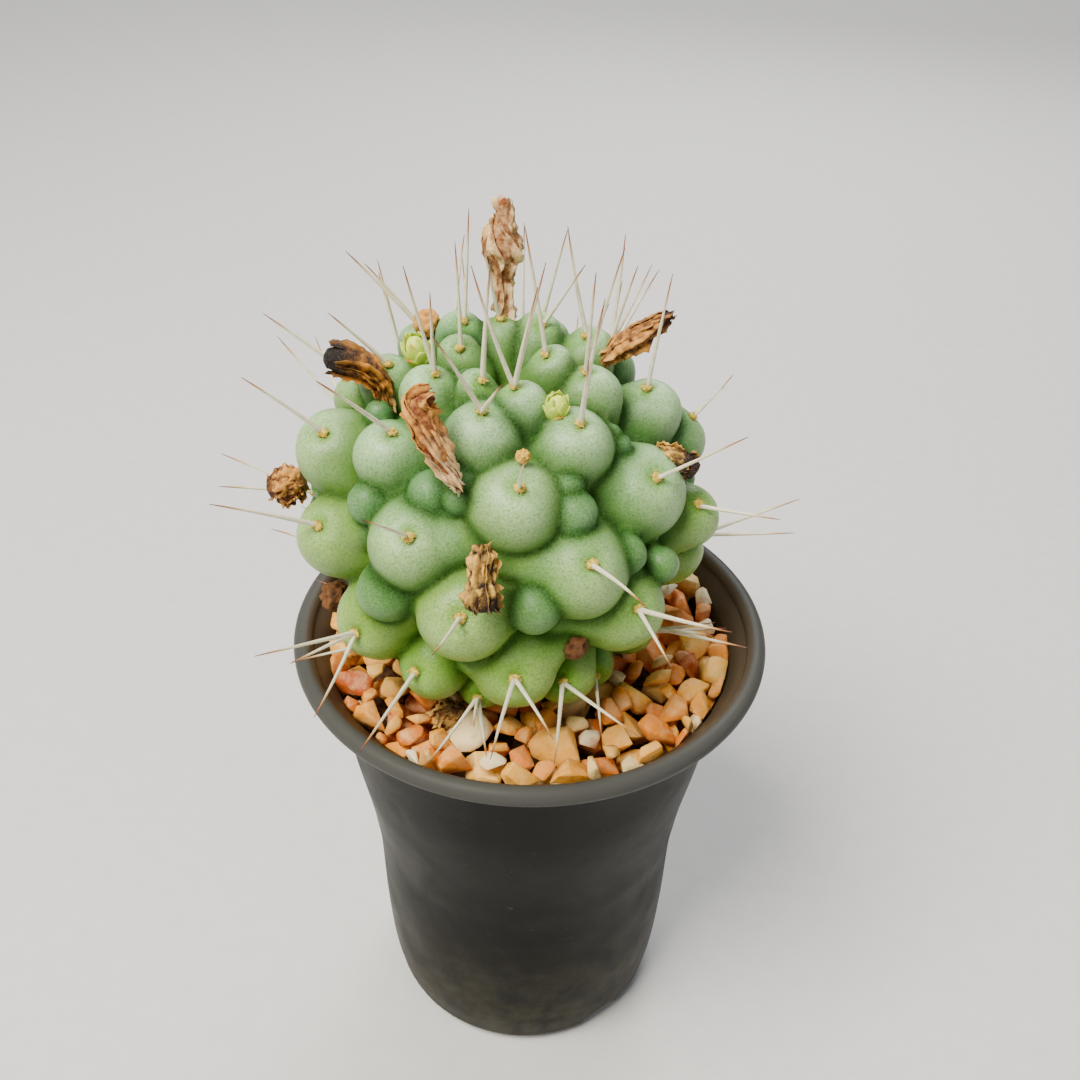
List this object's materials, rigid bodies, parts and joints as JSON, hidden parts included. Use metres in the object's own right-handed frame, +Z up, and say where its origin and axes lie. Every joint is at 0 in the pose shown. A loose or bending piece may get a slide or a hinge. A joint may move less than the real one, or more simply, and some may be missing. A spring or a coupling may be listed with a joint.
{
  "type": "potted round cactus",
  "caption": "Round cactus with swollen tubercles, long spines and dried flowers, in a tall round nursery pot topped with gravel.",
  "frame": {"origin": "middle of the pot's flat base, on the surface it stands on", "axes": "+Z up along the pot's axis, -Y towards the front, +X to the right seen from the front"},
  "size_m": [0.0807, 0.078, 0.1303],
  "materials": {
    "pot_plastic": "moulded dark grey polypropylene, satin, dusty and water-stained low down",
    "soil": null,
    "gravel": "broken orange, peach and cream stones, matt",
    "cactus_skin": null,
    "spine": null,
    "dried_flower": "brown shrivelled petals, matt and crumpled",
    "bud": null
  },
  "bodies": {
    "root": {"pot": "pot_plastic", "soil_mix": "soil", "gravel_bed": "gravel", "stone_01": "gravel", "stone_02": "gravel", "stone_03": "gravel", "stone_04": "gravel", "stone_05": "gravel", "stone_06": "gravel", "stone_07": "gravel", "stone_08": "gravel", "stone_09": "gravel", "stone_10": "gravel", "stone_11": "gravel", "stone_12": "gravel", "stone_13": "gravel", "stone_14": "gravel", "stone_15": "gravel", "stone_16": "gravel", "cactus_body": "cactus_skin", "areole_01": "spine", "areole_02": "spine", "areole_03": "spine", "areole_04": "spine", "areole_05": "spine", "areole_06": "spine", "areole_07": "spine", "areole_08": "spine", "areole_09": "spine", "areole_10": "spine", "areole_11": "spine", "areole_12": "spine", "areole_13": "spine", "areole_14": "spine", "areole_15": "spine", "areole_16": "spine", "areole_17": "spine", "areole_18": "spine", "areole_19": "spine", "areole_20": "spine", "areole_21": "spine", "areole_22": "spine", "areole_23": "spine", "areole_24": "spine", "areole_25": "spine", "areole_26": "spine", "areole_27": "spine", "areole_28": "spine", "dried_flower_crown": "dried_flower", "dried_flower_right": "dried_flower", "dried_flower_left": "dried_flower", "dried_flower_front": "dried_flower", "dried_flower_belly": "dried_flower", "dried_flower_side": "dried_flower", "dried_fruit_left": "dried_flower", "fallen_fruit": "dried_flower", "flower_bud_left": "bud", "flower_bud_front": "bud"}
  },
  "joints": []
}
